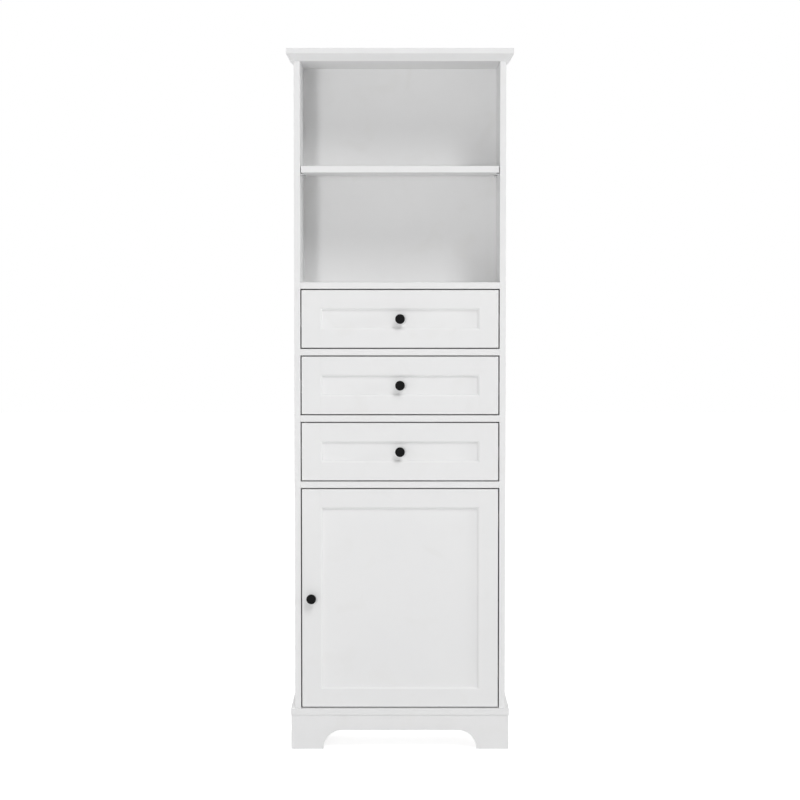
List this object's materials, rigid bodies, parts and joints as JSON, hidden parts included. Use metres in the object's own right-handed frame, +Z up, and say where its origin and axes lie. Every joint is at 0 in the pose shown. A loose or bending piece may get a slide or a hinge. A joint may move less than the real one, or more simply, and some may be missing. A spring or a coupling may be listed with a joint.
{
  "type": "tall bathroom cabinet",
  "caption": "Tall narrow cabinet with an open shelved top, a column of framed drawers and a framed cupboard door, on an arched plinth under a crown moulding.",
  "frame": {"origin": "on the floor, in the middle of the whole part's width and depth", "axes": "+X to the right seen from the front, +Y from the doors to the wall, +Z up"},
  "size_m": [0.5588, 0.26, 1.7348],
  "materials": {
    "white_paint": "satin white paint on smooth wood",
    "white_board": "white faced thin board",
    "plain_wood": "bare softwood",
    "drawer_wood": "white faced board",
    "drawer_board": "white faced hardboard",
    "black_paint": "satin black",
    "bright_steel": "zinc plated",
    "zinc": "die-cast zinc",
    "beech": "bare beech",
    "runner_steel": "zinc plated sheet",
    "nickel": "nickel plated"
  },
  "bodies": {
    "carcass": {"side_left": "white_paint", "side_right": "white_paint", "top_board": "white_paint", "open_floor": "white_paint", "drawer_rails": "white_paint", "deck": "white_paint", "back_panel": "white_board", "cap_board": "white_paint", "crown_front": "white_paint", "crown_left": "white_paint", "crown_right": "white_paint", "base_board": "white_paint", "apron_front": "white_paint", "apron_left": "white_paint", "apron_right": "white_paint", "apron_back": "white_paint", "corner_blocks": "plain_wood", "open_shelf": "white_paint", "cupboard_shelf": "white_paint", "shelf_pins": "bright_steel", "cam_bolts": "bright_steel", "cam_locks": "zinc", "dowels": "beech", "cabinet_runners": "runner_steel", "hinge_arms": "nickel"},
    "door": {"door_stile_left": "white_paint", "door_stile_right": "white_paint", "door_rail_top": "white_paint", "door_rail_bottom": "white_paint", "door_panel": "white_paint", "door_knob": "black_paint", "door_knob_screw": "bright_steel", "hinge_cups": "nickel"},
    "drawer_1": {"drawer_1_stiles": "white_paint", "drawer_1_rails": "white_paint", "drawer_1_panel": "white_paint", "drawer_1_knob": "black_paint", "drawer_1_knob_screw": "bright_steel", "drawer_1_sides": "drawer_wood", "drawer_1_back": "drawer_wood", "drawer_1_bottom": "drawer_board", "drawer_1_runners": "runner_steel"},
    "drawer_2": {"drawer_2_stiles": "white_paint", "drawer_2_rails": "white_paint", "drawer_2_panel": "white_paint", "drawer_2_knob": "black_paint", "drawer_2_knob_screw": "bright_steel", "drawer_2_sides": "drawer_wood", "drawer_2_back": "drawer_wood", "drawer_2_bottom": "drawer_board", "drawer_2_runners": "runner_steel"},
    "drawer_3": {"drawer_3_stiles": "white_paint", "drawer_3_rails": "white_paint", "drawer_3_panel": "white_paint", "drawer_3_knob": "black_paint", "drawer_3_knob_screw": "bright_steel", "drawer_3_sides": "drawer_wood", "drawer_3_back": "drawer_wood", "drawer_3_bottom": "drawer_board", "drawer_3_runners": "runner_steel"}
  },
  "joints": [
    {"name": "door_hinge", "type": "hinge", "parent": "carcass", "child": "door", "pos_m": [0.2379, -0.1035, 0.377], "axis": [0, 0, 1], "range_deg": [0, 105]},
    {"name": "drawer_1_slide", "type": "slide", "parent": "carcass", "child": "drawer_1", "axis": [0, -1, 0], "range_m": [0, 0.15]},
    {"name": "drawer_2_slide", "type": "slide", "parent": "carcass", "child": "drawer_2", "axis": [0, -1, 0], "range_m": [0, 0.15]},
    {"name": "drawer_3_slide", "type": "slide", "parent": "carcass", "child": "drawer_3", "axis": [0, -1, 0], "range_m": [0, 0.15]}
  ]
}
